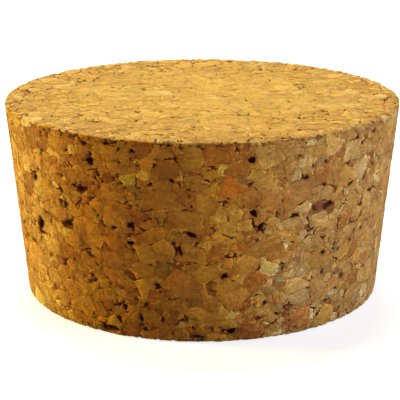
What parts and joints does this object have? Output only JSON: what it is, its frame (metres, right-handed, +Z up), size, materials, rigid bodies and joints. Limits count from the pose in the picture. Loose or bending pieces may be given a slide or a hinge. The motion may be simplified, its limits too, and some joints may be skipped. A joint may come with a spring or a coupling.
{
  "type": "cork stopper",
  "caption": "Wide, low tapered stopper of agglomerated cork that plugs the round mouth of a jar or crock.",
  "frame": {"origin": "centre of the narrow face that the stopper stands on", "axes": "+Z up along the axis of the taper, from the narrow face to the wide face; -Y is the front"},
  "size_m": [0.0759, 0.0759, 0.0375],
  "materials": {
    "agglomerated_cork": "granules 2 to 5 mm across bound together and ground flush, matte, with small dark voids"
  },
  "bodies": {
    "root": {"stopper": "agglomerated_cork"}
  },
  "joints": []
}
